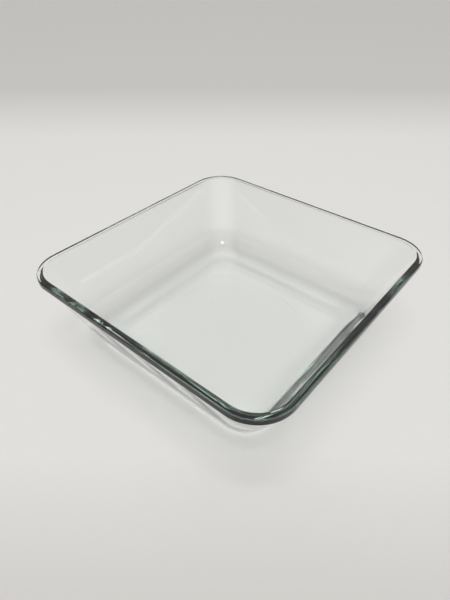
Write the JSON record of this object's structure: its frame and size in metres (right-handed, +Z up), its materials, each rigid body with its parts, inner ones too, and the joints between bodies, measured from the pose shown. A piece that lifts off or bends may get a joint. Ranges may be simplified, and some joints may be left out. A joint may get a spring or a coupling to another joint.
{
  "type": "square glass dish",
  "caption": "Clear pressed-glass square dish with flared flat walls, rounded corners, a wide cove round a thick floor and a low bead with a shallow ledge round the mouth.",
  "frame": {"origin": "centre of the footprint, on the plane the dish stands on", "axes": "+Z up out of the mouth, X and Y square to the side walls"},
  "size_m": [0.203, 0.203, 0.0657],
  "materials": {
    "clear_glass": "polished"
  },
  "bodies": {
    "root": {"glass_dish": "clear_glass"}
  },
  "joints": []
}
